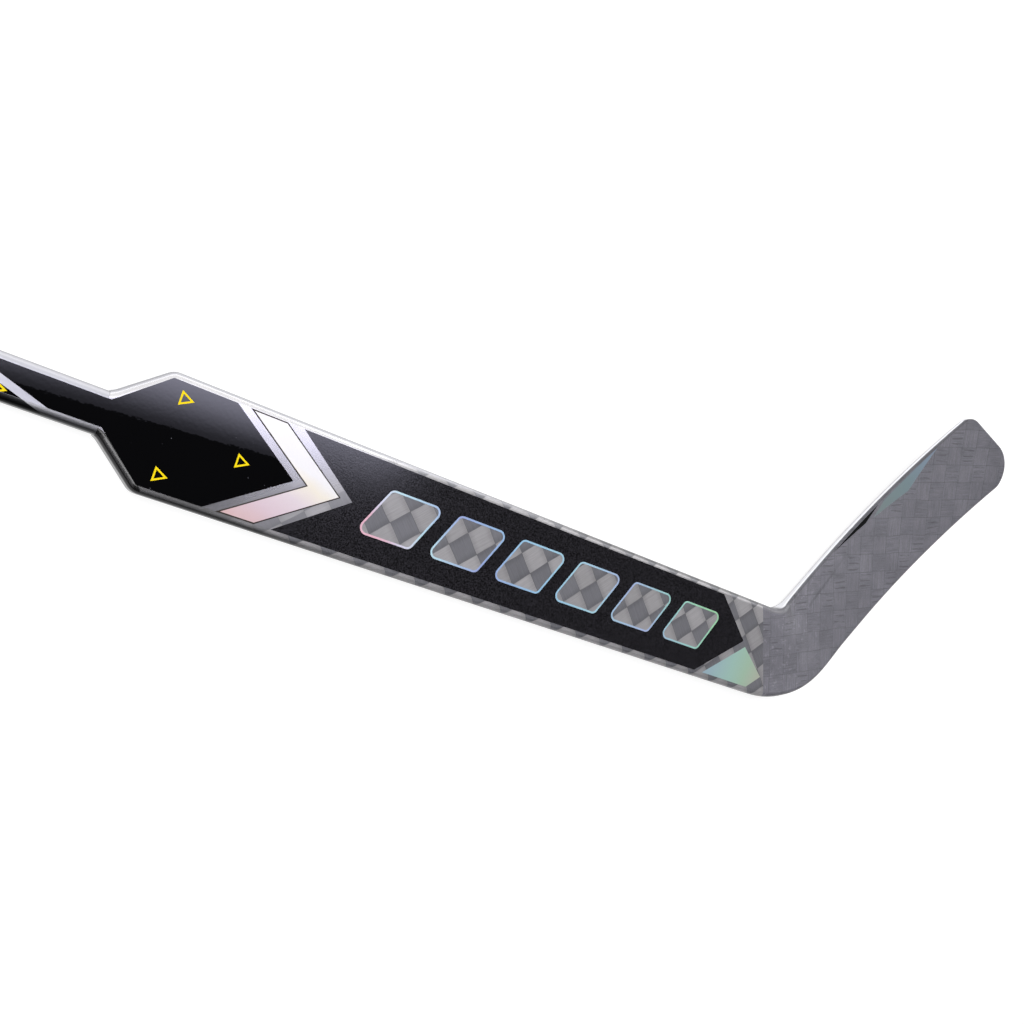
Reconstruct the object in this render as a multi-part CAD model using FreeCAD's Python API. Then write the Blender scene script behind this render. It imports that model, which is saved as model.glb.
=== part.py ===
import FreeCAD, Part
import math
import os
from FreeCAD import Vector

# Hockey goalie stick, lying on its back with the playing face up, in millimetres.
# X runs down the shaft to the heel, Y to the side the blade turns to, Z out of the face.
# The origin is on the back face, on the paddle's axis, level with the inside corner of the heel.

# Section shared by shaft and paddle
body_depth = 20.0
edge_radius = 5.5

# Shaft
shaft_length = 720.0
shaft_width = 30.5
shaft_wall = 2.0
plug_flange = 5.0
plug_reach = 45.0
plug_round = 2.0
tenon_in_shaft = 80.0
tenon_in_paddle = 70.0

# Paddle, from the start of the shoulder to the inside corner of the heel
paddle_length = 656.0
paddle_width = 88.0
shoulder_length = 34.0
shoulder_hollow_radius = 14.0
shoulder_corner_radius = 12.0
laminate = 1.6
web_wall = 3.0
bond_gap = 0.1

# Slanted joint between the paddle's laminate and the blade's, where it crosses the axis
seam_back = 14.0
seam_lean = 21.3

# Heel and blade
lie_turn = 57.8
heel_inner_radius = 22.0
heel_flat_turn = 24.0
heel_block_back = 45.0
heel_block_run = 62.0
heel_flare = 3.5
blade_flare = 9.0
blade_depth = 9.0
toe_depth = 6.5
blade_edge_radius = 3.0
depth_fade = 58.0
curve_start = 71.0
curve_radius = 1066.0
rim_flat = 0.8
bridge_fall = 44.0
bridge_wall = 3.0
toe_reach = 326.5
toe_lean = 15.5
toe_upper_radius = 18.0
toe_lower_radius = 33.0
toe_spare = 10.0

# Films on the flats of shaft and paddle
film = 0.15
point_lead = 56.0
neck_ahead = 2.0
hexagon_ahead = 0.5
hexagon_length = 46.0
stripe_behind = 32.0
stripe_slope = 0.343
stripe_gap = 15.8
shaft_panel_length = 300.0
chevron_gap = 10.0
chevron_arm = 28.5
chevron_rim = 0.9
long_panel_gap = 13.0
long_panel_notch = 53.0
long_panel_upper_back = 84.0
long_panel_lower_back = 95.0
long_panel_tip_back = 43.5
long_panel_tip_rise = 2.7
badge_gap = 10.5
badge_top_drop = 2.3
badge_right_back = 9.0
badge_right_rise = 13.5
badge_foot_back = 24.5
triangle_base = 10.8
triangle_height = 10.0
triangle_line = 1.3
triangle_left_in = 8.0
triangle_edge_in = 11.0
triangle_right_in = 12.0
triangle_shaft_behind = 67.0
triangle_shaft_drop = 8.0

# Windows in the long panel
window_length = 49.0
window_gap = 14.0
window_height = 40.0
window_slant = 20.0
window_corner = 6.0
window_rim = 1.6
window_first_in = 8.0

# Darts on the blade, as distance back from the toe and fall below the upper edge
dart_margin = 3.5
foil_dart_start_back = 166.5
foil_dart_start_fall = 11.0
foil_dart_knee_back = 143.5
foil_dart_knee_fall = 5.0
foil_dart_tip_back = 55.0
foil_dart_corner_back = 111.0
foil_dart_corner_fall = 18.3
black_dart_start_back = 232.5
black_dart_corner_back = 178.5
black_dart_corner_fall = 8.6
black_dart_tip_back = 153.0

# Steps in the heel's turn and in the blade's length, and the reach of a cutting block past what it cuts
heel_steps = 6
blade_steps = 12
spare = 60.0

up = Vector(0, 0, 1)
half_depth = body_depth / 2
half_paddle = paddle_width / 2
half_shaft = shaft_width / 2
paddle_flat = half_paddle - edge_radius
shaft_flat = half_shaft - edge_radius
heel_cut = heel_inner_radius * math.tan(math.radians(lie_turn / 2))
heel_length = (heel_inner_radius + half_paddle) * math.radians(lie_turn - heel_flat_turn)
blade_slope = (blade_flare - heel_flare) / (toe_reach - heel_cut)
toe_height = paddle_width + blade_flare
toe_end = toe_reach + toe_height * math.tan(math.radians(toe_lean)) + toe_spare
far = 2 * toe_end
hexagon_left = -paddle_length + shoulder_length + hexagon_ahead
hexagon_right = hexagon_left + hexagon_length
chevron_left = hexagon_right + chevron_gap
chevron_right = chevron_left + chevron_arm
long_panel_left = chevron_right + long_panel_gap
stripe_start = -paddle_length - stripe_behind


def rounded_wire(points, radii):
    """Closed outline through the points, each corner rounded by its radius, 0 for a sharp one."""
    starts = []
    ends = []
    edges = []
    count = len(points)
    for index, (corner, radius) in enumerate(zip(points, radii)):
        back = (points[index - 1] - corner).normalize()
        ahead = (points[(index + 1) % count] - corner).normalize()
        half_angle = back.getAngle(ahead) / 2
        cut = radius / math.tan(half_angle)
        starts.append(corner + back * cut)
        ends.append(corner + ahead * cut)
        if radius:
            inward = (back + ahead).normalize()
            middle = corner + inward * (radius / math.sin(half_angle) - radius)
            edges.append(Part.Arc(starts[-1], middle, ends[-1]).toShape())
    for index in range(count):
        edges.append(Part.LineSegment(ends[index - 1], starts[index]).toShape())
    return Part.Wire(Part.__sortEdges__(edges))


def outline(pairs, radius=0.0):
    """Flat outline from x, y pairs, with one radius at every corner."""
    points = [Vector(x, y) for x, y in pairs]
    return rounded_wire(points, [radius] * len(points))


def both_halves(upper):
    """Outline from its upper half, given from left to right, and the same half below the axis."""
    return upper + [(x, -y) for x, y in reversed(upper) if y]


def prism(face, low, high):
    """Upright block on a flat face or outline, between two heights."""
    if face.ShapeType == "Wire":
        face = Part.Face(face)
    block = face.extrude(up * (high - low))
    block.translate(up * low)
    return block


def cutter(points):
    """Block on a sharp-cornered outline that spans more than the whole height of the stick."""
    return prism(rounded_wire(points, [0] * len(points)), -spare, 2 * spare)


def box_between(x_low, x_high, y_low, y_high):
    """Cutting block between limits along and across the paddle."""
    places = [(x_low, y_low), (x_high, y_low), (x_high, y_high), (x_low, y_high)]
    return cutter([Vector(x, y) for x, y in places])


def plan(distance, angle):
    """Vector in plan from a distance and an angle in degrees from X."""
    return Vector(distance * math.cos(math.radians(angle)), distance * math.sin(math.radians(angle)))


def blade_point(run, fall):
    """Place on the blade from its run along the upper edge and its fall below that edge."""
    return Vector(0, half_paddle) + plan(run, lie_turn) + plan(fall, lie_turn - 90)


def blade_band(run_low, run_high, fall_low, fall_high):
    """Cutting block between limits along and across the blade."""
    places = [(run_low, fall_low), (run_high, fall_low), (run_high, fall_high), (run_low, fall_high)]
    return cutter([blade_point(run, fall) for run, fall in places])


def section(middle, across, half_width, half_height, radius):
    """Rounded rectangle that stands upright, wide along a direction in plan."""
    corners = []
    for side, lift in ((1, 1), (1, -1), (-1, -1), (-1, 1)):
        centre = middle + across * (side * (half_width - radius)) + up * (lift * (half_height - radius))
        flank = centre + across * (side * radius)
        crest = centre + up * (lift * radius)
        knee = centre + (across * side + up * lift).normalize() * radius
        corners.append((crest, knee, flank) if side == lift else (flank, knee, crest))
    edges = []
    for index, (start, knee, end) in enumerate(corners):
        edges.append(Part.LineSegment(corners[index - 1][2], start).toShape())
        edges.append(Part.Arc(start, knee, end).toShape())
    return Part.Wire(edges)


def shaft_bar(start, end, inset):
    """Straight bar of the shaft's section, drawn in by an inset."""
    wire = section(Vector(start, 0, half_depth), Vector(0, 1, 0),
                   half_shaft - inset, half_depth - inset, edge_radius - inset)
    return Part.Face(wire).extrude(Vector(end - start, 0, 0))


def paddle_body(inset):
    """Shoulder and paddle as one filled form up to the heel, drawn in by an inset."""
    end_radius = (edge_radius + half_shaft) / 2
    upper = [(-paddle_length - spare, half_shaft), (-paddle_length, half_shaft),
             (-paddle_length + shoulder_length, half_paddle), (spare, half_paddle)]
    points = [Vector(x, y) for x, y in both_halves(upper)]
    radii = [end_radius, shoulder_hollow_radius, shoulder_corner_radius, end_radius]
    face = Part.Face(rounded_wire(points, radii + radii[::-1]))
    if inset:
        face = face.makeOffset2D(-inset)
    block = prism(face, inset, body_depth - inset)
    rims = [edge for edge in block.Edges if edge.BoundBox.ZLength < half_depth - inset]
    block = block.makeFillet(edge_radius - inset, rims)
    return block.common(box_between(-paddle_length, -heel_cut, -paddle_width, paddle_width))


def blade_rise(run):
    """Height of the blade's middle above the back face: level, then an arc towards the face."""
    past = max(0.0, run - curve_start)
    return half_depth + curve_radius - math.sqrt(curve_radius ** 2 - past ** 2)


def blade_height(run):
    """Height of the blade across its run: that of the heel's end, more at the toe."""
    return paddle_width + heel_flare + blade_slope * (run - heel_cut)


def depth_share(travel):
    """Share of the paddle's depth and rounding that is left at a distance past the heel's flat start."""
    share = min(1.0, travel / depth_fade)
    return 1 - share * share * (3 - 2 * share)


def blade_runs():
    """Evenly spaced places from the end of the heel to past the toe."""
    return [heel_cut + (toe_end - heel_cut) * step / blade_steps for step in range(blade_steps + 1)]


def blade_section(middle, angle, height, thin_depth, travel, inset):
    """Section across heel or blade, facing along an angle, drawn in by an inset."""
    share = depth_share(travel)
    depth = thin_depth + (body_depth - blade_depth) * share
    rounding = blade_edge_radius + (edge_radius - blade_edge_radius) * share
    radius = min(rounding, (depth - rim_flat) / 2)
    return section(middle, plan(1, angle + 90), height / 2 - inset, depth / 2 - inset, radius - inset)


def heel_body(inset):
    """Start of the heel: the paddle's section turned about the inside corner, drawn in by an inset."""
    start = section(Vector(-heel_cut, 0, half_depth), Vector(0, 1, 0),
                    half_paddle - inset, half_depth - inset, edge_radius - inset)
    return Part.Face(start).revolve(Vector(-heel_cut, half_paddle + heel_inner_radius), up, heel_flat_turn)


def blade_body(inset):
    """Rest of the heel and the blade as one filled form that runs past the toe, drawn in by an inset."""
    pivot = Vector(-heel_cut, half_paddle + heel_inner_radius, half_depth)
    wires = []
    for step in range(heel_steps):
        share = step / heel_steps
        angle = heel_flat_turn + (lie_turn - heel_flat_turn) * share
        height = paddle_width + heel_flare * share
        middle = pivot + plan(heel_inner_radius + height / 2, angle - 90)
        wires.append(blade_section(middle, angle, height, blade_depth, heel_length * share, inset))
    for run in blade_runs():
        past = run - heel_cut
        height = blade_height(run)
        thin_depth = blade_depth + (toe_depth - blade_depth) * past / (toe_reach - heel_cut)
        middle = blade_point(run, height / 2) + up * blade_rise(run)
        wires.append(blade_section(middle, lie_turn, height, thin_depth, heel_length + past, inset))
    return Part.makeLoft(wires, True)


def toe_waste(inset):
    """What the rounded toe leaves of the blade's overlong form, drawn in by an inset."""
    start = toe_reach / 2
    slope = math.tan(math.radians(toe_lean))
    reach = toe_reach - inset / math.cos(math.radians(toe_lean))
    upper = inset - film
    lower = (blade_height(reach) + film - inset) / (1 - slope * blade_slope)
    places = [(start, upper), (reach + upper * slope, upper), (reach + lower * slope, lower),
              (start, blade_height(start) + film - inset)]
    points = [blade_point(run, fall) for run, fall in places]
    kept = rounded_wire(points, [0, toe_upper_radius - inset, toe_lower_radius - inset, 0])
    around = blade_band(start, toe_end + spare, -spare, lower + spare)
    return around.cut(prism(kept, -spare, 2 * spare))


def head_body(inset):
    """Paddle, heel and blade as one filled form, drawn in by an inset."""
    blade = blade_body(inset).cut(toe_waste(inset))
    return paddle_body(inset).fuse([heel_body(inset), blade])


def face_side():
    """Everything on the face's side of the middle of paddle, heel and blade."""
    wires = []
    for run in blade_runs():
        ends = [blade_point(run, -heel_inner_radius), blade_point(run, blade_height(toe_end) + spare)]
        low = [end + up * blade_rise(run) for end in ends]
        high = [end + up * (blade_rise(run) + body_depth) for end in ends]
        wires.append(Part.makePolygon([low[0], low[1], high[1], high[0], low[0]]))
    left = -paddle_length - spare
    top = blade_point(heel_cut, -heel_inner_radius)
    bottom = blade_point(heel_cut, blade_height(toe_end) + spare)
    points = [top, Vector(left, top.y), Vector(left, -paddle_width), Vector(bottom.x, -paddle_width), bottom]
    flat = prism(rounded_wire(points, [0] * len(points)), half_depth, half_depth + body_depth)
    return flat.fuse(Part.makeLoft(wires, True))


def past_seam():
    """Everything on the blade's side of the slanted seam."""
    slope = math.tan(math.radians(seam_lean))
    low = -half_paddle - spare
    return cutter([Vector(-seam_back - slope * low, low), Vector(far, low),
                   Vector(far, far), Vector(-seam_back - slope * far, far)])


def shaft_pieces():
    """Tube, end plug and the tenon that carries the tube on into the paddle."""
    end = -paddle_length - shaft_length
    tube = shaft_bar(end, -paddle_length, 0).cut(shaft_bar(end, -paddle_length, shaft_wall))
    flange = shaft_bar(end - plug_flange, end, 0)
    rim = [edge for edge in flange.Edges if edge.BoundBox.XMax < end - plug_flange / 2]
    stem = shaft_bar(end, end + plug_reach, shaft_wall + bond_gap)
    plug = flange.makeFillet(plug_round, rim).fuse(stem)
    fit = max(shaft_wall, laminate) + bond_gap
    tenon = shaft_bar(-paddle_length - tenon_in_shaft, -paddle_length + tenon_in_paddle, fit)
    return {"shaft_tube": tube, "butt_plug": plug, "shaft_tenon": tenon}


def skin_pieces():
    """Front and back laminate of the paddle and of the blade."""
    shell = head_body(0).cut(head_body(laminate))
    front_side = face_side()
    blade_side = past_seam()
    pieces = {}
    for name, half in (("front", shell.common(front_side)), ("back", shell.cut(front_side))):
        pieces["paddle_%s_skin" % name] = half.cut(blade_side)
        pieces["blade_%s_skin" % name] = half.common(blade_side)
    return pieces


def core_pieces():
    """Foam, web and bridge that fill the laminate, with the block in the heel."""
    filling = head_body(laminate + bond_gap)
    tenon_half = half_shaft - max(shaft_wall, laminate)
    tenon_end = -paddle_length + tenon_in_paddle + bond_gap
    paddle = filling.common(box_between(-paddle_length, -heel_block_back, -paddle_width, paddle_width))
    paddle = paddle.cut(box_between(-paddle_length - spare, tenon_end, -tenon_half, tenon_half))
    web_half = web_wall / 2
    rest = filling.cut(box_between(-paddle_length - spare, -heel_block_back, -paddle_width, paddle_width))
    blade = rest.common(blade_band(heel_block_run, far, -spare, far))
    bridge_end = bridge_fall + bridge_wall
    return {
        "paddle_upper_core": paddle.common(box_between(-far - paddle_length, 0, web_half, paddle_width)),
        "paddle_lower_core": paddle.common(box_between(-far - paddle_length, 0, -paddle_width, -web_half)),
        "paddle_web": paddle.common(box_between(-far - paddle_length, 0, -web_half, web_half)),
        "heel_block": rest.cut(blade_band(heel_block_run, far, -spare, far)),
        "blade_upper_core": blade.common(blade_band(0, far, -spare, bridge_fall)),
        "blade_bridge": blade.common(blade_band(0, far, bridge_fall, bridge_end)),
        "blade_lower_core": blade.common(blade_band(0, far, bridge_end, far)),
    }


def ring(face, width):
    """Band of even width along the inside of a flat face's edge."""
    return face.cut(face.makeOffset2D(-width, join=2))


def hexagon_outline(start):
    """Upper half of the pointed hexagon on the shoulder, led in along the shaft from a start."""
    return [(start, shaft_flat), (-paddle_length + neck_ahead, shaft_flat), (hexagon_left, paddle_flat),
            (hexagon_right, paddle_flat), (hexagon_right + point_lead, 0)]


def long_panel_outline():
    """Outline of the paddle's long panel: notched at the shoulder, pointed at the heel."""
    return outline([(long_panel_left, paddle_flat), (-long_panel_upper_back, paddle_flat),
                    (-long_panel_tip_back, long_panel_tip_rise), (-long_panel_lower_back, -paddle_flat),
                    (long_panel_left, -paddle_flat), (long_panel_left + long_panel_notch, 0)])


def stripe_place(height):
    """Where the slanted stripe's near edge crosses the shaft at a height above its axis."""
    return stripe_start - (height + shaft_flat) / stripe_slope


def shaft_panel_outline():
    """Outline of the film up the shaft, past the bare stripe, cut on the same slant at both ends."""
    pairs = []
    for shift, height in ((0, -shaft_flat), (0, shaft_flat), (1, shaft_flat), (1, -shaft_flat)):
        pairs.append((stripe_place(height) - stripe_gap - shift * shaft_panel_length, height))
    return outline(pairs)


def black_films():
    """Gloss films of shoulder and shaft and the satin film of the paddle, with its windows open."""
    low = body_depth
    shoulder = both_halves(hexagon_outline(stripe_start))
    shoulder[0] = (stripe_place(shaft_flat), shaft_flat)
    windows = Part.makeCompound(window_faces())
    long_panel = Part.Face(long_panel_outline()).cut(windows)
    return {
        "shoulder_panel": prism(outline(shoulder), low, low + film),
        "shaft_panel": prism(shaft_panel_outline(), low, low + film),
        "paddle_panel": prism(long_panel, low, low + film),
    }


def window_faces():
    """Row of slanted windows along the long panel, as many as its length has room for."""
    faces = []
    first = long_panel_left + long_panel_notch + window_first_in
    step = window_length + window_gap
    count = int((-long_panel_lower_back - first + window_gap) / step)
    foot = -window_height / 2
    for index in range(count):
        left = first + index * step
        right = left + window_length
        pairs = [(left, foot), (right, foot), (right + window_slant, -foot), (left + window_slant, -foot)]
        faces.append(Part.Face(outline(pairs, window_corner)))
    return faces


def triangle_marks():
    """Open triangles on the black films, the one on the shaft trimmed by its film."""
    low = body_depth + film
    left = hexagon_left + triangle_left_in
    spread = paddle_flat - triangle_edge_in
    places = [(left, spread), (left, -spread), (hexagon_right + triangle_right_in, 0),
              (-paddle_length - triangle_shaft_behind, -triangle_shaft_drop)]
    shaft_face = Part.Face(shaft_panel_outline())
    marks = []
    for x, y in places:
        corners = [(x, y + triangle_base / 2), (x, y - triangle_base / 2), (x + triangle_height, y)]
        mark = ring(Part.Face(outline(corners)), triangle_line)
        if x < -paddle_length:
            mark = mark.common(shaft_face)
        marks += prism(mark, low, low + film).Solids
    return Part.makeCompound(marks)


def foil_films():
    """Pale foils of the paddle: chevron with its dark edge, window rims and the patch at the heel."""
    low = body_depth
    chevron = Part.Face(outline([
        (chevron_left, paddle_flat), (chevron_right, paddle_flat), (chevron_right + point_lead, 0),
        (chevron_right, -paddle_flat), (chevron_left, -paddle_flat), (chevron_left + point_lead, 0)]))
    edge = ring(chevron, chevron_rim)
    rims = [prism(ring(face, window_rim), low, low + film) for face in window_faces()]
    slant = (long_panel_lower_back - long_panel_tip_back) / (paddle_flat + long_panel_tip_rise)
    badge_left = -long_panel_lower_back + badge_gap
    badge_top = badge_left + slant * (paddle_flat - badge_top_drop)
    badge = outline([(badge_left, -paddle_flat), (badge_top, -badge_top_drop),
                     (-badge_right_back, badge_right_rise - paddle_flat), (-badge_foot_back, -paddle_flat)])
    return {
        "chevron_foil": prism(chevron.cut(edge), low, low + film),
        "chevron_outline": prism(edge, low, low + film),
        "window_rims": Part.makeCompound(rims),
        "heel_badge": prism(badge, low, low + film),
    }


def let_in_darts(skin):
    """Blade's front laminate with a pale and a black dart let in flush along the upper edge."""
    pale = [(foil_dart_start_back, foil_dart_start_fall), (foil_dart_knee_back, foil_dart_knee_fall),
            (foil_dart_tip_back, dart_margin), (foil_dart_corner_back, foil_dart_corner_fall)]
    black = [(black_dart_start_back, dart_margin), (black_dart_tip_back, dart_margin),
             (black_dart_corner_back, black_dart_corner_fall)]
    below = blade_body(0).translated(up * -film)
    pieces = {}
    for name, places in (("blade_foil_dart", pale), ("blade_black_dart", black)):
        layer = cutter([blade_point(toe_reach - back, fall) for back, fall in places]).cut(below)
        pieces[name] = skin.common(layer)
        skin = skin.cut(layer)
    pieces["blade_front_skin"] = skin
    return pieces


def back_films():
    """Plain black films let into the back of the paddle."""
    shoulder = both_halves(hexagon_outline(-paddle_length))
    return {
        "back_shoulder_panel": prism(outline(shoulder), 0, film),
        "back_paddle_panel": prism(long_panel_outline(), 0, film),
    }


def main():
    os.makedirs("parts", exist_ok=True)
    pieces = shaft_pieces()
    pieces.update(skin_pieces())
    pieces.update(core_pieces())
    pieces.update(black_films())
    pieces["triangle_marks"] = triangle_marks()
    pieces.update(foil_films())
    pieces.update(let_in_darts(pieces["blade_front_skin"]))
    inlays = back_films()
    pieces["paddle_back_skin"] = pieces["paddle_back_skin"].cut(list(inlays.values()))
    pieces.update(inlays)
    for name, shape in pieces.items():
        if not shape.isValid() or not shape.Solids:
            raise ValueError(name + " is not a valid solid")
        print(name, len(shape.Solids), round(shape.Volume, 1))
        shape.exportStep("parts/%s.step" % name)


main()
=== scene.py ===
import math

import bmesh
import bpy
from bpy.props import FloatProperty, FloatVectorProperty, PointerProperty
from mathutils import Matrix, Vector


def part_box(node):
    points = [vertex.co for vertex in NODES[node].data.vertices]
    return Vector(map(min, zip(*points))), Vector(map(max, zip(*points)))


bl_info = {
    "name": "Goalie stick finish",
    "version": (1, 0, 0),
    "blender": (4, 5, 0),
    "location": "View3D > Sidebar > Goalie stick",
    "description": "Finishes, stage and camera for a carbon goalkeeper's stick",
    "category": "Object",
}

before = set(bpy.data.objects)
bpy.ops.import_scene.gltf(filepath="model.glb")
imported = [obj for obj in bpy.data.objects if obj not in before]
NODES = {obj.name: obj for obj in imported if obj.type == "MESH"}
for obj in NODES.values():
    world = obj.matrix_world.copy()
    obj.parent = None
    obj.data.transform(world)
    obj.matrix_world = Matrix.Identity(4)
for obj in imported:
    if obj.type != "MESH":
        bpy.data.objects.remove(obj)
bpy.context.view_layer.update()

# Sides of the stick, as directions in its own frame: +X runs to the heel, +Y to the side of the blade
FACE_SIDE = (0, 0, 1)
BACK_SIDE = (0, 0, -1)
UPPER_SIDE = (0, 1, 0)
LOWER_SIDE = (0, -1, 0)
HEEL_SIDE = (1, 0, 0)
BUTT_SIDE = (-1, 0, 0)
BLADE_TOP_SIDE = (-0.846, 0.533, 0)

# Stretches along X, in metres, over which a finish or the painted light on its rims changes
SHAFT_FADE = (-0.56, -0.42)
HEEL_FADE = (-0.46, -0.22)
PADDLE_FADE = (-0.5, -0.1)
BLADE_FADE = (0.01, 0.05)
SCUFF_FADE = (0.02, 0.09)

# Stretches along Y, in metres: the silver is painted lighter upwards, a painted highlight and shade, and
# the foot of the heel is lighter
SILVER_FADE = (-0.045, 0.02)
FOOT_FADE = (-0.05, 0.0)

# Slants: how far along X the silver's end moves for each metre of Y, and the rise of the shaft's stripe
SILVER_SLANT = 1.2
STRIPE_RISE = 0.343
STRIPE_EDGE = (-0.001, 0.001)

# Weaves: where the two start, in metres, how far a tow wanders, in tow widths, and its strands
CHECKER_SHIFT = (0.005, -0.0365)
BLADE_SHIFT = (0.004, 0.002)
TOW_WANDER = 0.14
TOW_STRANDS = 34

# Fold in the heel: its start, direction, half width and two ends, in metres
CREASE_START = (0.0380, 0.0589)
CREASE_RUN = (0.459, 0.888)
CREASE_WIDTH = (0.0003, 0.0024)
CREASE_NEAR_END = (-0.004, 0.006)
CREASE_FAR_END = (0.03, 0.085)

WHITE = (1.0, 1.0, 1.0)
SENSOR_WIDTH = 36.0


def tone(red, green, blue):
    """Linear colour from the 0 to 255 values that a picture shows."""
    shares = [value / 255 for value in (red, green, blue)]
    return tuple(s / 12.92 if s <= 0.04045 else ((s + 0.055) / 1.055) ** 2.4 for s in shares)


def colour_property(name, description, default):
    """Colour setting with its default as a linear colour."""
    return FloatVectorProperty(name=name, description=description, default=default, subtype="COLOR",
                               size=3, min=0.0, max=1.0)


def length_property(name, description, default):
    """Length setting in metres."""
    return FloatProperty(name=name, description=description, default=default, unit="LENGTH",
                         subtype="DISTANCE", precision=5)


def angle_property(name, description, degrees):
    """Angle setting with its default in degrees."""
    return FloatProperty(name=name, description=description, default=math.radians(degrees),
                         unit="ROTATION", subtype="ANGLE")


def level_property(name, description, default):
    """Brightness setting, where 1 is white."""
    return FloatProperty(name=name, description=description, default=default, min=0.0)


def place_property(name, description, default):
    """Place in the stick's frame, in metres."""
    return FloatVectorProperty(name=name, description=description, default=default, unit="LENGTH",
                               subtype="TRANSLATION", size=3)


def direction_property(name, description, default):
    """Direction in the stick's frame."""
    return FloatVectorProperty(name=name, description=description, default=default,
                               subtype="DIRECTION", size=3)


class CarbonSettings(bpy.types.PropertyGroup):
    """Tows and lacquer of shaft, paddle and blade."""
    cell: length_property("Tow width", "Width of one flat tow of the weave", 0.0192)
    checker_turn: angle_property("Paddle's weave", "Turn of the paddle's tows from its axis", 45)
    blade_turn: angle_property("Blade's weave", "Turn of the blade's tows from the paddle's axis", 19.2)
    # Painted sheen: the two tones of the paddle's checker are one tow shown lit and shaded by the run of
    # its fibres
    painted_lit_tow: colour_property("Bright tow", "Tows that face the light", (0.385, 0.375, 0.383))
    painted_shaded_tow: colour_property("Dark tow", "Tows that run across the bright ones", (0.195, 0.195, 0.212))
    blade_tow: colour_property("Blade tow", "Tows of heel and blade", (0.222, 0.218, 0.246))
    # Painted highlight: white laid on the rounding along the blade's top
    blade_rim_highlight: colour_property("Blade rim", "White edge along the blade's top", (0.92, 0.92, 0.96))
    # Painted highlight: colour laid on the crest of the upper rims near the shaft
    rim: colour_property("Rim", "Bright lacquer of the upper rims", (0.55, 0.55, 0.58))
    lacquer: colour_property("Lacquer", "Silver lacquer of the shaft", (0.51, 0.51, 0.55))
    shoulder: colour_property("Shoulder", "Silver lacquer round the chevron", (0.71, 0.7, 0.715))
    lacquer_end: length_property("Lacquer's end", "Where the solid lacquer ends along the paddle", -0.535)
    lacquer_fade: length_property("Lacquer's fade", "Length over which the lacquer fades out", 0.085)


class FilmSettings(bpy.types.PropertyGroup):
    """Black films and line marks."""
    gloss_black: colour_property("Gloss black", "Film of shoulder and shaft", (0.0015, 0.0015, 0.002))
    dust: colour_property("Dust", "Specks on the gloss film", (0.025, 0.025, 0.03))
    satin_black: colour_property("Satin black", "Long film of the paddle", (0.015, 0.0142, 0.0168))
    yellow: colour_property("Yellow", "Ink of the small triangles", (1.0, 0.75, 0.0))
    dark_line: colour_property("Dark line", "Ink round the chevron", (0.035, 0.027, 0.022))
    grain: length_property("Grain", "Size of the satin film's grain", 0.0012)
    peel: length_property("Peel", "Size of the gloss film's ripples", 0.003)
    dust_spacing: length_property("Dust spacing", "Distance between specks of dust", 0.009)


class InnerSettings(bpy.types.PropertyGroup):
    """End plug, foam, ribs and inserts."""
    rubber: colour_property("Rubber", "End plug", (0.022, 0.022, 0.023))
    foam: colour_property("Foam", "Cores of paddle and blade", (0.72, 0.66, 0.5))
    laminate: colour_property("Laminate", "Ribs and tenon", (0.05, 0.05, 0.055))
    filler: colour_property("Filler", "Block in the heel", (0.27, 0.24, 0.19))
    foam_cell: length_property("Foam cell", "Size of the foam's cells", 0.0016)


class StageSettings(bpy.types.PropertyGroup):
    """Floor, lamps and camera."""
    floor_reach: length_property("Floor", "Half the width of the floor", 30.0)
    floor_drop: length_property("Floor's drop", "Gap between the stick's back and the floor", 0.0004)
    floor_colour: colour_property("Floor colour", "Floor as it is seen", (0.28, 0.28, 0.28))
    floor_return: colour_property("Floor's return", "Floor as it lights the stick", (0.35, 0.35, 0.35))
    floor_glow: level_property("Floor's glow", "White added to the floor where it is seen", 0.86)
    key_radiance: level_property("Key", "Brightness of the large lamp over the upper edge", 1.2)
    key_edge: colour_property("Key's edge", "Cool tint of the large lamp's near edge", (0.8, 0.79, 1.0))
    side_radiance: level_property("Side", "Brightness of the lamp past the blade", 3.0)
    back_radiance: level_property("Back", "Brightness of the lamp behind the camera", 4.1)
    camera_place: place_property("Camera", "Where the camera stands", (-0.75386, -0.06492, 0.72196))
    camera_right: direction_property("Camera's right", "Direction of the picture's right",
                                     (0.80173, 0.2934, 0.52072))
    camera_back: direction_property("Camera's back", "Direction from the picture to the camera",
                                    (-0.50809, -0.12426, 0.85229))
    lens: FloatProperty(name="Lens", description="Focal length on a 36 mm frame", default=35.156,
                        unit="CAMERA")


class Wire:
    """A socket of a finish's node tree; arithmetic on it adds Math nodes."""

    def __init__(self, finish, socket):
        self.finish = finish
        self.socket = socket

    def math(self, operation, *others):
        """Math node of an operation on this value and others."""
        sockets = dict(enumerate((self, *others)))
        return self.finish.node("ShaderNodeMath", {"operation": operation}, sockets)

    def __add__(self, other):
        return self.math("ADD", other)

    def __sub__(self, other):
        return self.math("SUBTRACT", other)

    def __rsub__(self, other):
        return self.finish.node("ShaderNodeMath", {"operation": "SUBTRACT"}, {0: other, 1: self})

    def __mul__(self, other):
        return self.math("MULTIPLY", other)

    def __truediv__(self, other):
        return self.math("DIVIDE", other)

    def __abs__(self):
        return self.math("ABSOLUTE")

    __radd__ = __add__
    __rmul__ = __mul__

    def step(self, low, high):
        """Smooth step from 0 at low to 1 at high."""
        return self.finish.node("ShaderNodeMapRange", {"interpolation_type": "SMOOTHSTEP"},
                                {"Value": self, "From Min": low, "From Max": high})


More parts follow.
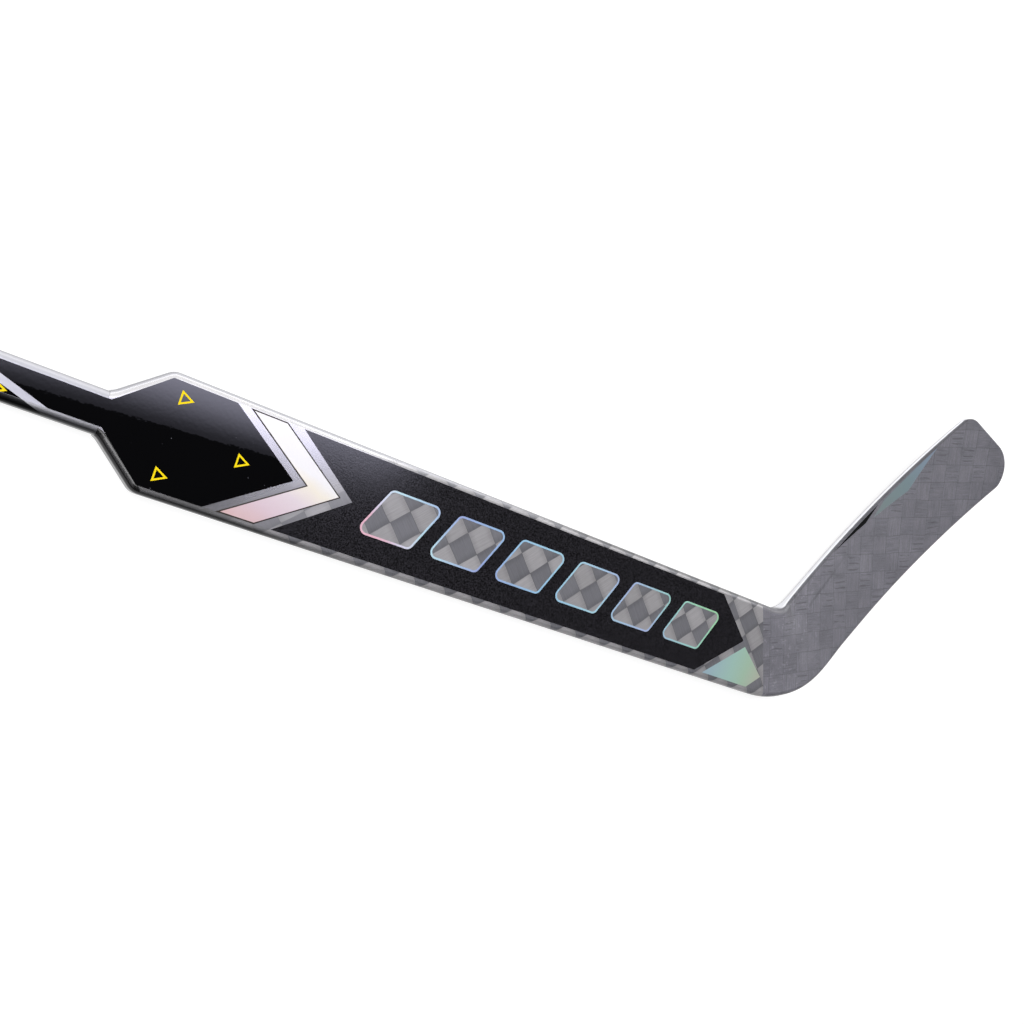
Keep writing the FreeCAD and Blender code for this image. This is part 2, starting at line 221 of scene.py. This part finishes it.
class Finish:
    """Nodes of a material, a lamp or the world, with one method that adds any node."""

    def __init__(self, owner):
        self.owner = owner
        owner.use_nodes = True
        self.tree = owner.node_tree

    def node(self, kind, settings=None, sockets=None, output=0):
        """Node of a type with its settings and its sockets' values or links; gives one output as a wire."""
        node = self.tree.nodes.new(kind)
        for key, value in (settings or {}).items():
            if key == "stops":
                fill_ramp(node.color_ramp, value)
            else:
                setattr(node, key, value)
        for key, value in (sockets or {}).items():
            self.feed(node.inputs[key], value)
        return Wire(self, node.outputs[output])

    def feed(self, socket, value):
        """Link a wire to a socket, or set the socket's own value, with the alpha that a colour needs."""
        if isinstance(value, Wire):
            self.tree.links.new(value.socket, socket)
        else:
            socket.default_value = (*value, 1.0) if socket.type == "RGBA" else value

    def place(self):
        """Place on the stick in metres."""
        return self.node("ShaderNodeTexCoord", output="Object")

    def axes(self, vector):
        """The three parts of a vector."""
        first = self.node("ShaderNodeSeparateXYZ", None, {0: vector})
        return [Wire(self, socket) for socket in first.socket.node.outputs]

    def point(self, x, y, z=0.0):
        """Vector from three values."""
        return self.node("ShaderNodeCombineXYZ", None, {0: x, 1: y, 2: z})

    def drawn_out(self, share):
        """Place with X shortened to a share, which draws a pattern out along the stick."""
        return self.node("ShaderNodeMapping", None, {"Vector": self.place(), "Scale": (share, 1, 1)})

    def facing(self, direction):
        """How far the surface turns to a direction, from -1 to 1."""
        normal = self.node("ShaderNodeTexCoord", output="Normal")
        return self.node("ShaderNodeVectorMath", {"operation": "DOT_PRODUCT"},
                         {0: normal, 1: direction}, "Value")

    def tilt(self):
        """Sine of the angle between the surface and the flat of the face."""
        upright = self.facing(FACE_SIDE)
        return (1 - upright * upright).math("SQRT")

    def noise(self, vector, size=1.0, detail=2.0, roughness=0.5):
        """Cloudy noise with features of a size."""
        return self.node("ShaderNodeTexNoise", None, {
            "Vector": vector, "Scale": 1 / size, "Detail": detail, "Roughness": roughness})

    def cells(self, size):
        """Distance from the middles of scattered cells of a size."""
        return self.node("ShaderNodeTexVoronoi", None, {"Vector": self.place(), "Scale": 1 / size})

    def blend(self, factor, first, second):
        """Mix of two colours."""
        return self.node("ShaderNodeMix", {"data_type": "RGBA"}, {0: factor, 6: first, 7: second}, 2)

    def shade(self, colour, amount):
        """Colour made lighter or darker by a value."""
        return self.node("ShaderNodeVectorMath", {"operation": "SCALE"}, {0: colour, "Scale": amount})

    def ramp(self, value, stops):
        """Colour from a row of stops."""
        return self.node("ShaderNodeValToRGB", {"stops": stops}, {0: value})

    def bump(self, height, distance, strength=1.0):
        """Surface relief from a height that runs from 0 to 1."""
        return self.node("ShaderNodeBump", None, {
            "Strength": strength, "Distance": distance, "Height": height})

    def wear(self, **sockets):
        """Set or link the shader's own sockets; names have underscores in place of spaces."""
        shader = self.tree.nodes["Principled BSDF"]
        for key, value in sockets.items():
            self.feed(shader.inputs[key.replace("_", " ").title().replace("Ior", "IOR")], value)
        return self.owner


def fill_ramp(ramp, stops):
    """Stops of a colour ramp as pairs of place and linear colour."""
    while len(ramp.elements) < len(stops):
        ramp.elements.new(1.0)
    for element, (place, colour) in zip(ramp.elements, stops):
        element.position = place
        element.color = (*colour, 1.0)


def new_finish(name):
    """Finish of a new material."""
    return Finish(bpy.data.materials.new(name))


def dress(material, *names):
    """Give nodes of the frame a material."""
    for name in names:
        slots = NODES[name].data.materials
        slots.clear()
        slots.append(material)


def weave(finish, cell, turn, shift):
    """Flat-tow weave of square cells turned about Z: the tow on top, its fibres, side, end and chance."""
    wander = finish.noise(finish.place(), size=0.03, detail=1.0)
    drift = (wander - 0.5) * TOW_WANDER
    turned = finish.node("ShaderNodeMapping", None, {
        "Vector": finish.place(), "Rotation": (0, 0, -turn), "Scale": (1 / cell, 1 / cell, 1 / cell),
        "Location": (shift[0] / cell, shift[1] / cell, 0)})
    first, second, _ = finish.axes(turned)
    first = first + drift
    second = second + drift
    column = first.math("FLOOR")
    row = second.math("FLOOR")
    parity = ((column + row) * 0.5).math("FRACT") * 2
    along = first + (second - first) * parity
    across = second + (first - second) * parity
    chance = finish.node("ShaderNodeTexWhiteNoise", None, {"Vector": finish.point(column, row)})
    strand = finish.point(along * 0.9 + chance * 9, across * TOW_STRANDS, chance * 5)
    fibres = finish.noise(strand, detail=3.0, roughness=0.65)
    side = abs(across.math("FRACT") - 0.5) * 2
    end = abs(along.math("FRACT") - 0.5) * 2
    return {"parity": parity, "first": first, "second": second, "chance": chance, "fibres": fibres,
            "side": side, "end": end}


def upper_rim_painted_light(finish, colour, bright):
    """Painted light on the rim on the blade's side: a painted highlight at its crest by the shaft, painted
    shade that makes it grey by the heel and darker down its wall.
    """
    x, _, _ = finish.axes(finish.place())
    tilt = finish.tilt()
    bend = tilt.step(0.3, 0.6)
    crest = tilt.step(0.45, 0.62)
    wall = tilt.step(0.74, 0.9)
    heel = x.step(*HEEL_FADE)
    colour = finish.shade(colour, 1 - bend * heel * 0.55)
    colour = finish.blend(crest * (1 - heel), colour, bright)
    return finish.shade(colour, 1 - wall * 0.4)


def lower_rim_painted_shade(finish, colour):
    """Painted shade on the rim on the far side: dark down its wall, most of all by the shaft and on the
    shoulder's slope.
    """
    x, _, _ = finish.axes(finish.place())
    tilt = finish.tilt()
    shaft = 1 - x.step(*SHAFT_FADE)
    paddle_wall = tilt.step(0.6, 0.95) * (0.5 - x.step(*PADDLE_FADE) * 0.35)
    shaft_wall = tilt.step(0.35, 0.8) * 0.88
    wall = paddle_wall + (shaft_wall - paddle_wall) * shaft
    depth = 1 + tilt.step(0.05, 0.4) * (0.3 - shaft * 0.45) - wall
    slope = finish.facing(BUTT_SIDE)
    depth = depth * (1 - slope.step(0.0, 0.06) * 0.88 + slope.step(0.18, 0.4) * 0.75)
    return finish.shade(colour, depth.math("MAXIMUM", 0.07))


def painted_rim_light(finish, colour, bright):
    """Colour carried round both rims, with painted highlight and shade on the upper rim and painted shade
    on the lower one.
    """
    above = finish.facing(UPPER_SIDE).step(-0.1, 0.1)
    return finish.blend(above, lower_rim_painted_shade(finish, colour), upper_rim_painted_light(finish, colour, bright))


def checker_carbon(carbon):
    """Wide-tow carbon of the paddle, with silver lacquer over the shoulder, a checker of painted sheen, and
    painted highlight and shade on the rims.
    """
    finish = new_finish("checker_carbon")
    x, y, _ = finish.axes(finish.place())
    tow = weave(finish, carbon.cell, carbon.checker_turn, CHECKER_SHIFT)
    gap = tow["side"].step(0.93, 1.0) * 0.3 + tow["end"].step(0.4, 1.0) * 0.18
    depth = (0.7 + tow["fibres"] * 0.66) * (0.92 + tow["chance"] * 0.16) * (1 - gap)
    # Painted sheen: every other tow is shown lit and the rest shaded
    tows = finish.shade(finish.blend(tow["parity"], carbon.painted_lit_tow, carbon.painted_shaded_tow), depth)
    bare = (x - y * SILVER_SLANT).step(carbon.lacquer_end, carbon.lacquer_end + carbon.lacquer_fade)
    face = 1 - finish.tilt().step(0.05, 0.2)
    # Painted highlight and shade: the silver on the face is lighter towards the upper side and darker
    # towards the lower one
    fall = y.step(*SILVER_FADE) * 0.52 - 0.4
    lacquer = finish.shade(carbon.shoulder, 1 + fall * face)
    colour = finish.blend(0.12 + bare * 0.88, lacquer, tows)
    relief = tow["fibres"] * 0.5 + (1 - tow["side"] * tow["side"]) * 0.5
    below = finish.facing(LOWER_SIDE).step(0.3, 0.7)
    # The base colour carries painted highlight and shade on the rims
    return finish.wear(
        base_color=painted_rim_light(finish, colour, carbon.rim),
        metallic=0.8 - bare * 0.6,
        roughness=0.21 + bare * (0.07 + tow["fibres"] * 0.16),
        specular_ior_level=0.3,
        normal=finish.bump(relief * bare.step(0.3, 1.0), distance=0.00025, strength=0.5),
        coat_weight=0.25 - below * 0.25,
        coat_roughness=0.2)


def resin_marks(finish, tow):
    """Short dark lines across some of the tows, like rungs."""
    first, second, chance = tow["first"], tow["second"], tow["chance"]
    wobble = finish.noise(finish.point(first * 0.8, second * 2, chance * 5), detail=1.0)
    breaks = finish.noise(finish.point(first * 1.6 + chance * 7, second * 5))
    lines = (second * 6.3 + wobble * 1.2).math("PINGPONG", 1.0).step(0.6, 0.95) * breaks.step(0.34, 0.48)
    marked = chance.step(0.35, 0.55) * (1 - tow["parity"])
    inside = (1 - tow["end"].step(0.65, 0.9)) * (1 - tow["side"].step(0.7, 0.95))
    return lines * marked * inside


def heel_crease(finish, cloud):
    """Soft straight fold in the heel, which fades out towards the blade."""
    x, y, _ = finish.axes(finish.place())
    from_x = x - CREASE_START[0]
    from_y = y - CREASE_START[1]
    across = from_x * CREASE_RUN[1] - from_y * CREASE_RUN[0]
    along = from_x * CREASE_RUN[0] + from_y * CREASE_RUN[1]
    line = 1 - abs(across + (cloud - 0.5) * 0.004).step(*CREASE_WIDTH)
    return line * along.step(*CREASE_NEAR_END) * (1 - along.step(*CREASE_FAR_END))


def blade_carbon(carbon):
    """Wide-tow carbon of heel and blade, of one even grey with resin marks, a faint painted sheen on every
    other tow, a crease darkened with painted shade, a painted highlight along the top rim and painted shade
    on the lower rims.
    """
    finish = new_finish("blade_carbon")
    x, y, _ = finish.axes(finish.place())
    tow = weave(finish, carbon.cell, carbon.blade_turn, BLADE_SHIFT)
    cloud = finish.noise(finish.place(), size=0.024, detail=5.0, roughness=0.6)
    grain = finish.noise(finish.place(), size=0.0016, detail=3.0, roughness=0.7)
    rung = resin_marks(finish, tow)
    crease = heel_crease(finish, cloud)
    scuff = finish.noise(finish.place(), size=0.006, detail=4.0, roughness=0.65).step(0.58, 0.68)
    scuff = scuff * (1 - x.step(*SCUFF_FADE))
    gap = (tow["side"].step(0.92, 1.0) + tow["end"].step(0.94, 1.0)) * cloud * 0.45
    # A faint painted sheen makes every other tow lighter
    depth = (0.45 + tow["fibres"] * 1.1) * (0.93 + tow["chance"] * 0.1 + tow["parity"] * 0.04)
    depth = depth * (1 - gap) * (1 - rung * 0.3)
    depth = depth * (0.65 + cloud * 0.7) * (0.75 + grain * 0.5) * (1.12 - y.step(*FOOT_FADE) * 0.12)
    # Painted shade darkens the fold in the heel; the scuffs are lighter
    colour = finish.shade(carbon.blade_tow, depth * (1 - crease * 0.22) * (1 + scuff * 0.3))
    # Painted highlight: the rim along the blade's top, and by the heel's inner corner, turns white and more
    # metallic, with painted shade just inside it
    corner = finish.facing(UPPER_SIDE) * (0.84 - x.step(*BLADE_FADE) * 0.84)
    top = finish.facing(BLADE_TOP_SIDE).math("MAXIMUM", corner)
    white = top.step(0.78, 0.94)
    colour = finish.blend(white, finish.shade(colour, 1 - top.step(0.05, 0.3) * 0.5), carbon.blade_rim_highlight)
    # Painted shade on the rounding that turns under the blade and on the rim that faces towards +X
    under = finish.facing(BACK_SIDE).step(-0.12, 0.2) * 0.45
    heel_side_shade = finish.facing(HEEL_SIDE).step(0.12, 0.42) * 0.5
    crown = 1 - tow["side"] * tow["side"]
    relief = tow["fibres"] * 0.5 + crown * 0.4 - rung * 0.5 - crease * 0.8 + scuff * 0.4
    return finish.wear(
        base_color=finish.shade(colour, 1 - (under + heel_side_shade)),
        metallic=0.2 + white * 0.6,
        roughness=0.36 + tow["fibres"] * 0.14,
        normal=finish.bump(relief, distance=0.00025, strength=0.5),
        coat_weight=0.2,
        coat_roughness=0.25)


def silver_lacquer(carbon):
    """Satin silver lacquer of the shaft, with a painted highlight along the upper rim and painted shade on
    the lower rim, and black past the stripe below.
    """
    finish = new_finish("silver_lacquer")
    x, y, _ = finish.axes(finish.place())
    flake = finish.noise(finish.place(), size=0.0007)
    streak = finish.noise(finish.drawn_out(0.06), size=0.0016, detail=3.0)
    colour = finish.shade(carbon.lacquer, 0.88 + flake * 0.12 + streak * 0.12)
    low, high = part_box("shaft_panel")
    past_stripe = 1 - (x - high.x + (y - low.y) / STRIPE_RISE).step(*STRIPE_EDGE)
    below = finish.facing(LOWER_SIDE)
    black = past_stripe * below.step(0.02, 0.12) * 0.95
    # Painted highlight and shade on the rims, then black past the stripe below
    colour = finish.shade(painted_rim_light(finish, colour, carbon.rim), 1 - black)
    return finish.wear(
        base_color=colour,
        metallic=0.6,
        roughness=0.26 + streak * 0.08,
        specular_ior_level=0.2,
        normal=finish.bump(flake, distance=0.00002, strength=0.3),
        coat_weight=0.3 - below.step(0.3, 0.7) * 0.3,
        coat_roughness=0.15)


def gloss_film(films):
    """Deep gloss black with a slight ripple and a few specks of dust."""
    finish = new_finish("gloss_film")
    ripple = finish.noise(finish.place(), size=films.peel, detail=1.0)
    dust = 1 - finish.cells(films.dust_spacing).step(0.03, 0.06)
    return finish.wear(
        base_color=finish.blend(dust, films.gloss_black, films.dust),
        roughness=0.015 + dust * 0.3,
        specular_ior_level=0.95,
        normal=finish.bump(ripple, distance=0.000009, strength=0.5))


def satin_film(films):
    """Satin black with a fine grain."""
    finish = new_finish("satin_film")
    grain = finish.noise(finish.place(), size=films.grain, roughness=0.6)
    cloud = finish.noise(finish.place(), size=0.05)
    speckle = (grain * 7 - 2.5).math("MAXIMUM", 0.2).math("MINIMUM", 1.8)
    return finish.wear(
        base_color=finish.shade(films.satin_black, speckle * (0.9 + cloud * 0.2)),
        roughness=0.09 + grain * 0.1,
        specular_ior_level=1.0,
        normal=finish.bump(grain, distance=0.00004, strength=0.6))


def foil(name, direction, start, span, stops):
    """Pale colour-shift foil whose tint runs along a direction over the stick."""
    finish = new_finish(name)
    x, y, _ = finish.axes(finish.place())
    cloud = finish.noise(finish.place(), size=0.02)
    fleck = finish.noise(finish.place(), size=0.0006, detail=1.0)
    run = (x * direction[0] + y * direction[1] - start) / span + (cloud - 0.5) * 0.08
    return finish.wear(
        base_color=finish.shade(finish.ramp(run, stops), 0.97 + fleck * 0.06),
        metallic=0.15,
        roughness=0.3 + fleck * 0.08,
        normal=finish.bump(fleck, distance=0.00003, strength=0.4),
        coat_weight=0.4,
        coat_roughness=0.1)


def ink(name, colour):
    """Flat ink with a slightly uneven coat."""
    finish = new_finish(name)
    mottle = finish.noise(finish.place(), size=0.0012, detail=3.0)
    return finish.wear(
        base_color=finish.shade(colour, 0.95 + mottle * 0.1),
        roughness=0.4 + mottle * 0.1,
        specular_ior_level=0.15,
        normal=finish.bump(mottle, distance=0.00003, strength=0.4))


def plug_rubber(inner):
    """Matte moulded rubber."""
    finish = new_finish("plug_rubber")
    pores = finish.noise(finish.place(), size=0.0012, detail=4.0, roughness=0.6)
    return finish.wear(
        base_color=finish.shade(inner.rubber, 0.7 + pores * 0.6),
        roughness=0.62 + pores * 0.2,
        normal=finish.bump(pores, distance=0.0002, strength=0.6))


def foam(inner):
    """Fine closed-cell foam."""
    finish = new_finish("foam")
    cells = finish.cells(inner.foam_cell)
    return finish.wear(
        base_color=finish.shade(inner.foam, 0.8 + cells * 0.3),
        roughness=0.85 - cells * 0.1,
        normal=finish.bump(cells, distance=0.0004, strength=0.8))


def bare_laminate(inner):
    """Raw carbon laminate with long fibres."""
    finish = new_finish("bare_laminate")
    fibres = finish.noise(finish.drawn_out(0.03), size=0.0009, detail=3.0, roughness=0.6)
    return finish.wear(
        base_color=finish.shade(inner.laminate, 0.6 + fibres * 0.8),
        metallic=0.3,
        roughness=0.4 + fibres * 0.2,
        normal=finish.bump(fibres, distance=0.0001, strength=0.6))


def cast_filler(inner):
    """Dense cast filler with fine aggregate."""
    finish = new_finish("cast_filler")
    lumps = finish.noise(finish.place(), size=0.003, detail=4.0, roughness=0.65)
    return finish.wear(
        base_color=finish.shade(inner.filler, 0.75 + lumps * 0.5),
        roughness=0.65 + lumps * 0.15,
        normal=finish.bump(lumps, distance=0.0003, strength=0.6))


class GOALIE_OT_paddle(bpy.types.Operator):
    """Finish both laminates of the paddle"""
    bl_idname = "goalie.paddle"
    bl_label = "Paddle"

    def execute(self, context):
        dress(checker_carbon(context.scene.stick_carbon), "paddle_front_skin", "paddle_back_skin")
        return {"FINISHED"}


class GOALIE_OT_blade(bpy.types.Operator):
    """Finish both laminates of heel and blade"""
    bl_idname = "goalie.blade"
    bl_label = "Blade"

    def execute(self, context):
        dress(blade_carbon(context.scene.stick_carbon), "blade_front_skin", "blade_back_skin")
        return {"FINISHED"}


class GOALIE_OT_shaft(bpy.types.Operator):
    """Finish the shaft's tube and its end plug"""
    bl_idname = "goalie.shaft"
    bl_label = "Shaft"

    def execute(self, context):
        dress(silver_lacquer(context.scene.stick_carbon), "shaft_tube")
        dress(plug_rubber(context.scene.stick_inner), "butt_plug")
        return {"FINISHED"}


class GOALIE_OT_black_films(bpy.types.Operator):
    """Finish the black films of shaft, shoulder, paddle and blade"""
    bl_idname = "goalie.black_films"
    bl_label = "Black films"

    def execute(self, context):
        films = context.scene.stick_films
        dress(gloss_film(films), "shoulder_panel", "shaft_panel", "back_shoulder_panel")
        dress(satin_film(films), "paddle_panel", "back_paddle_panel")
        dress(ink("black_ink", films.gloss_black), "blade_black_dart")
        return {"FINISHED"}


class GOALIE_OT_foils(bpy.types.Operator):
    """Finish the pale foils of paddle and blade"""
    bl_idname = "goalie.foils"
    bl_label = "Foils"

    def execute(self, context):
        dress(self.chevron(), "chevron_foil")
        dress(self.rims(), "window_rims")
        dress(self.badge(), "heel_badge")
        dress(self.dart(), "blade_foil_dart")
        return {"FINISHED"}

    def chevron(self):
        """Foil from white at the top of the chevron to rose at its foot."""
        return foil("chevron_foil", direction=(-0.27, -1.0), start=0.11, span=0.10, stops=[
            (0.0, tone(252, 250, 251)), (0.18, tone(252, 250, 251)), (0.27, tone(251, 243, 228)),
            (0.42, tone(236, 222, 228)), (0.6, tone(228, 205, 214)), (0.8, tone(224, 188, 186))])

    def rims(self):
        """Foil from rose through blue to green along the row of windows."""
        low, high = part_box("window_rims")
        return foil("rim_foil", direction=(1.0, 0.9), start=low.x, span=high.x - low.x, stops=[
            (0.0, tone(240, 190, 205)), (0.05, tone(226, 220, 240)), (0.12, tone(200, 235, 245)),
            (0.25, tone(165, 180, 230)), (0.42, tone(165, 210, 240)), (0.58, tone(180, 222, 236)),
            (0.74, tone(180, 195, 235)), (0.88, tone(170, 222, 215)), (1.0, tone(172, 228, 185))])

    def badge(self):
        """Foil from blue through green to a warm grey towards the heel."""
        low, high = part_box("heel_badge")
        return foil("badge_foil", direction=(1.0, -0.1), start=low.x, span=high.x - low.x, stops=[
            (0.0, tone(166, 190, 208)), (0.5, tone(172, 208, 196)), (0.75, tone(176, 206, 182)),
            (1.0, tone(190, 196, 178))])

    def dart(self):
        """Foil from grey-green to blue along the blade."""
        low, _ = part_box("blade_foil_dart")
        along = (0.53, 0.85)
        start = low.x * along[0] + low.y * along[1]
        return foil("dart_foil", direction=along, start=start, span=0.12, stops=[
            (0.0, tone(133, 147, 146)), (0.5, tone(133, 153, 158)), (1.0, tone(148, 165, 188))])


class GOALIE_OT_line_marks(bpy.types.Operator):
    """Finish the yellow triangles and the chevron's dark edge"""
    bl_idname = "goalie.line_marks"
    bl_label = "Line marks"

    def execute(self, context):
        films = context.scene.stick_films
        dress(ink("yellow_ink", films.yellow), "triangle_marks")
        dress(ink("dark_ink", films.dark_line), "chevron_outline")
        return {"FINISHED"}


class GOALIE_OT_inner_pieces(bpy.types.Operator):
    """Finish the foam, ribs and inserts inside the laminate"""
    bl_idname = "goalie.inner_pieces"
    bl_label = "Inner pieces"

    def execute(self, context):
        inner = context.scene.stick_inner
        dress(foam(inner), "paddle_upper_core", "paddle_lower_core", "blade_upper_core", "blade_lower_core")
        dress(bare_laminate(inner), "paddle_web", "blade_bridge", "shaft_tenon")
        dress(cast_filler(inner), "heel_block")
        return {"FINISHED"}


def add_lamp(name, centre, target, width, height, radiance):
    """Soft rectangular lamp of an even brightness, turned to a target with its width level."""
    data = bpy.data.lights.new(name, "AREA")
    data.shape = "RECTANGLE"
    data.size = width
    data.size_y = height
    data.energy = radiance * math.pi * width * height
    lamp = bpy.data.objects.new(name, data)
    lamp.visible_camera = False
    lamp.location = centre
    lamp.rotation_euler = (Vector(target) - Vector(centre)).to_track_quat("-Z", "Y").to_euler()
    bpy.context.scene.collection.objects.link(lamp)
    return lamp


def floor_finish(stage):
    """Pale floor that shows white and keeps the shadow, and throws little light back."""
    finish = new_finish("floor")
    nodes = finish.tree.nodes
    nodes.remove(nodes["Principled BSDF"])
    rays = finish.node("ShaderNodeLightPath").socket.node.outputs
    seen = Wire(finish, rays["Is Camera Ray"])
    for name in ("Is Glossy Ray", "Is Transmission Ray"):
        seen = seen.math("MAXIMUM", Wire(finish, rays[name]))
    dull = finish.node("ShaderNodeBsdfDiffuse", None, {"Color": stage.floor_return})
    pale = finish.node("ShaderNodeBsdfDiffuse", None, {"Color": stage.floor_colour})
    glow = finish.node("ShaderNodeEmission", None, {"Strength": stage.floor_glow})
    shown = finish.node("ShaderNodeAddShader", None, {0: pale, 1: glow})
    mixed = finish.node("ShaderNodeMixShader", None, {0: seen, 1: dull, 2: shown})
    finish.feed(nodes["Material Output"].inputs["Surface"], mixed)
    return finish.owner


class GOALIE_OT_stage(bpy.types.Operator):
    """Set out the floor, the lamps, the sky and the camera"""
    bl_idname = "goalie.stage"
    bl_label = "Stage"

    def execute(self, context):
        scene = context.scene
        stage = scene.stick_stage
        scene.view_settings.view_transform = "Standard"
        self.floor(scene, stage)
        self.lamps(stage)
        self.sky(scene)
        self.camera(scene, stage)
        return {"FINISHED"}

    def floor(self, scene, stage):
        """Wide flat floor just under the stick."""
        mesh = bpy.data.meshes.new("floor")
        square = bmesh.new()
        bmesh.ops.create_grid(square, x_segments=1, y_segments=1, size=stage.floor_reach)
        square.to_mesh(mesh)
        square.free()
        mesh.materials.append(floor_finish(stage))
        floor = bpy.data.objects.new("floor", mesh)
        floor.location.z = -stage.floor_drop
        scene.collection.objects.link(floor)

    def lamps(self, stage):
        """Large lamp over the upper edge, one past the blade and one behind the camera."""
        key = add_lamp("key_lamp", centre=(-0.757, 0.9, 0.902), target=(-0.712, 0.292, 0.112),
                       width=1.8, height=1.96, radiance=stage.key_radiance)
        self.fade(key.data, stage.key_edge)
        add_lamp("side_lamp", centre=(1.1, 1.5, 1.0), target=(0.0, 0.1, 0.0),
                 width=1.6, height=1.4, radiance=stage.side_radiance)
        add_lamp("back_lamp", centre=(-1.5, -0.3, 2.6), target=(-0.2, 0.0, 0.0),
                 width=2.0, height=1.5, radiance=stage.back_radiance)

    def fade(self, data, edge):
        """Make a lamp dim at its edge over the stick, with a brighter cool band next to that edge."""
        finish = Finish(data)
        inward = 1 - finish.axes(finish.node("ShaderNodeNewGeometry", output="Parametric"))[1]
        plain = inward.step(0.09, 0.2)
        emission = finish.tree.nodes["Emission"]
        finish.feed(emission.inputs["Color"], finish.blend(plain, edge, WHITE))
        finish.feed(emission.inputs["Strength"], 0.2 + inward.step(0.0, 0.07) * 2.5 - plain * 1.7)

    def sky(self, scene):
        """Pale horizon, higher on the side of the large lamp, under a dark ceiling."""
        world = bpy.data.worlds.new("studio")
        finish = Finish(world)
        _, y, z = finish.axes(finish.node("ShaderNodeTexCoord", output="Generated"))
        ceiling = (z - y * 0.3).step(0.08, 0.22)
        finish.feed(finish.tree.nodes["Background"].inputs["Color"], 1 - ceiling * 0.98)
        scene.world = world

    def camera(self, scene, stage):
        """Camera at the height and turn of the picture, with the blade at the right."""
        data = bpy.data.cameras.new("camera")
        data.lens = stage.lens
        data.sensor_width = SENSOR_WIDTH
        camera = bpy.data.objects.new("camera", data)
        right = Vector(stage.camera_right).normalized()
        back = Vector(stage.camera_back).normalized()
        up = back.cross(right)
        turn = Matrix((right, up, back)).transposed().to_4x4()
        camera.matrix_world = Matrix.Translation(stage.camera_place) @ turn
        scene.collection.objects.link(camera)
        scene.camera = camera


class GOALIE_PT_panel(bpy.types.Panel):
    """Finishes of the stick and its stage"""
    bl_label = "Goalie stick"
    bl_idname = "GOALIE_PT_panel"
    bl_space_type = "VIEW_3D"
    bl_region_type = "UI"
    bl_category = "Goalie stick"

    def draw(self, context):
        for operator in OPERATORS:
            self.layout.operator(operator.bl_idname)
        for setting, group in SETTINGS.items():
            for name in group.__annotations__:
                self.layout.prop(getattr(context.scene, setting), name)


OPERATORS = (GOALIE_OT_paddle, GOALIE_OT_blade, GOALIE_OT_shaft, GOALIE_OT_black_films, GOALIE_OT_foils,
             GOALIE_OT_line_marks, GOALIE_OT_inner_pieces, GOALIE_OT_stage)
SETTINGS = {"stick_carbon": CarbonSettings, "stick_films": FilmSettings, "stick_inner": InnerSettings,
            "stick_stage": StageSettings}


def register():
    for cls in (*SETTINGS.values(), *OPERATORS, GOALIE_PT_panel):
        bpy.utils.register_class(cls)
    for name, group in SETTINGS.items():
        setattr(bpy.types.Scene, name, PointerProperty(type=group))


def unregister():
    for name in SETTINGS:
        delattr(bpy.types.Scene, name)
    for cls in (GOALIE_PT_panel, *OPERATORS, *SETTINGS.values()):
        bpy.utils.unregister_class(cls)


def main():
    register()
    for operator in OPERATORS:
        group, name = operator.bl_idname.split(".")
        getattr(getattr(bpy.ops, group), name)()


if __name__ == "__main__":
    main()
